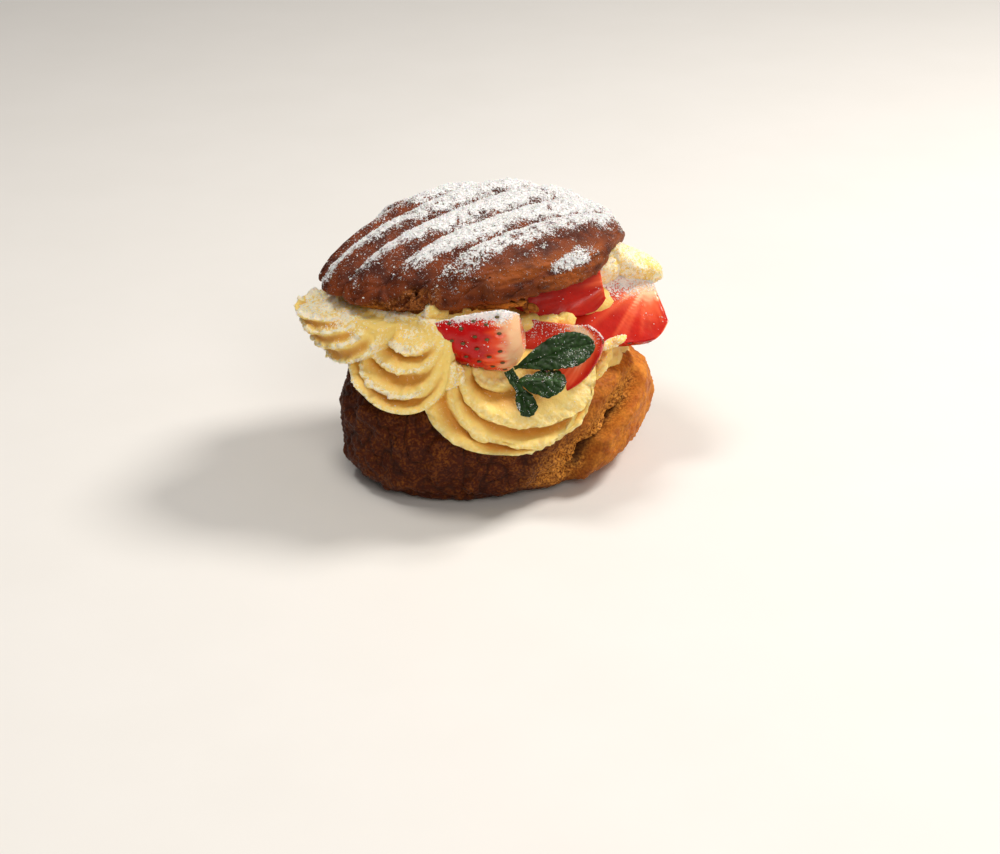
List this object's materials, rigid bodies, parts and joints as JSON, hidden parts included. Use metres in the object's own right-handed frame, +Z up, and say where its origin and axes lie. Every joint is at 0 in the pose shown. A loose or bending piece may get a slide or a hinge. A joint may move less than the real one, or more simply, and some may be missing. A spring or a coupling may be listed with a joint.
{
  "type": "filled choux pastry",
  "caption": "Short round choux pastry with a craggy base, piped yellow custard cream, cut strawberries, a mint sprig and a ridged lid dusted with sugar.",
  "frame": {"origin": "on the resting plane, under the middle of the pastry's outline", "axes": "+X along the widest extent, +Y to the back, +Z up; the mint sprig is on the -Y side"},
  "size_m": [0.1044, 0.089, 0.074],
  "materials": {
    "choux_crust": "baked golden to dark brown crust, dry and wrinkled",
    "dusted_crust": "baked brown crust under a thick dusting of icing sugar",
    "custard_cream": "soft satin yellow custard cream",
    "strawberry": "moist red fruit",
    "mint_leaf": "dark green leaf with a faint sheen"
  },
  "bodies": {
    "root": {"base_shell": "choux_crust", "choux_lid": "dusted_crust", "cream_filling": "custard_cream", "strawberry_front": "strawberry", "strawberry_middle": "strawberry", "strawberry_right": "strawberry", "strawberry_under_lid": "strawberry", "strawberry_back_right": "strawberry", "strawberry_back_left": "strawberry", "mint_leaf_large": "mint_leaf", "mint_leaf_folded": "mint_leaf", "mint_leaf_small": "mint_leaf"}
  },
  "joints": []
}
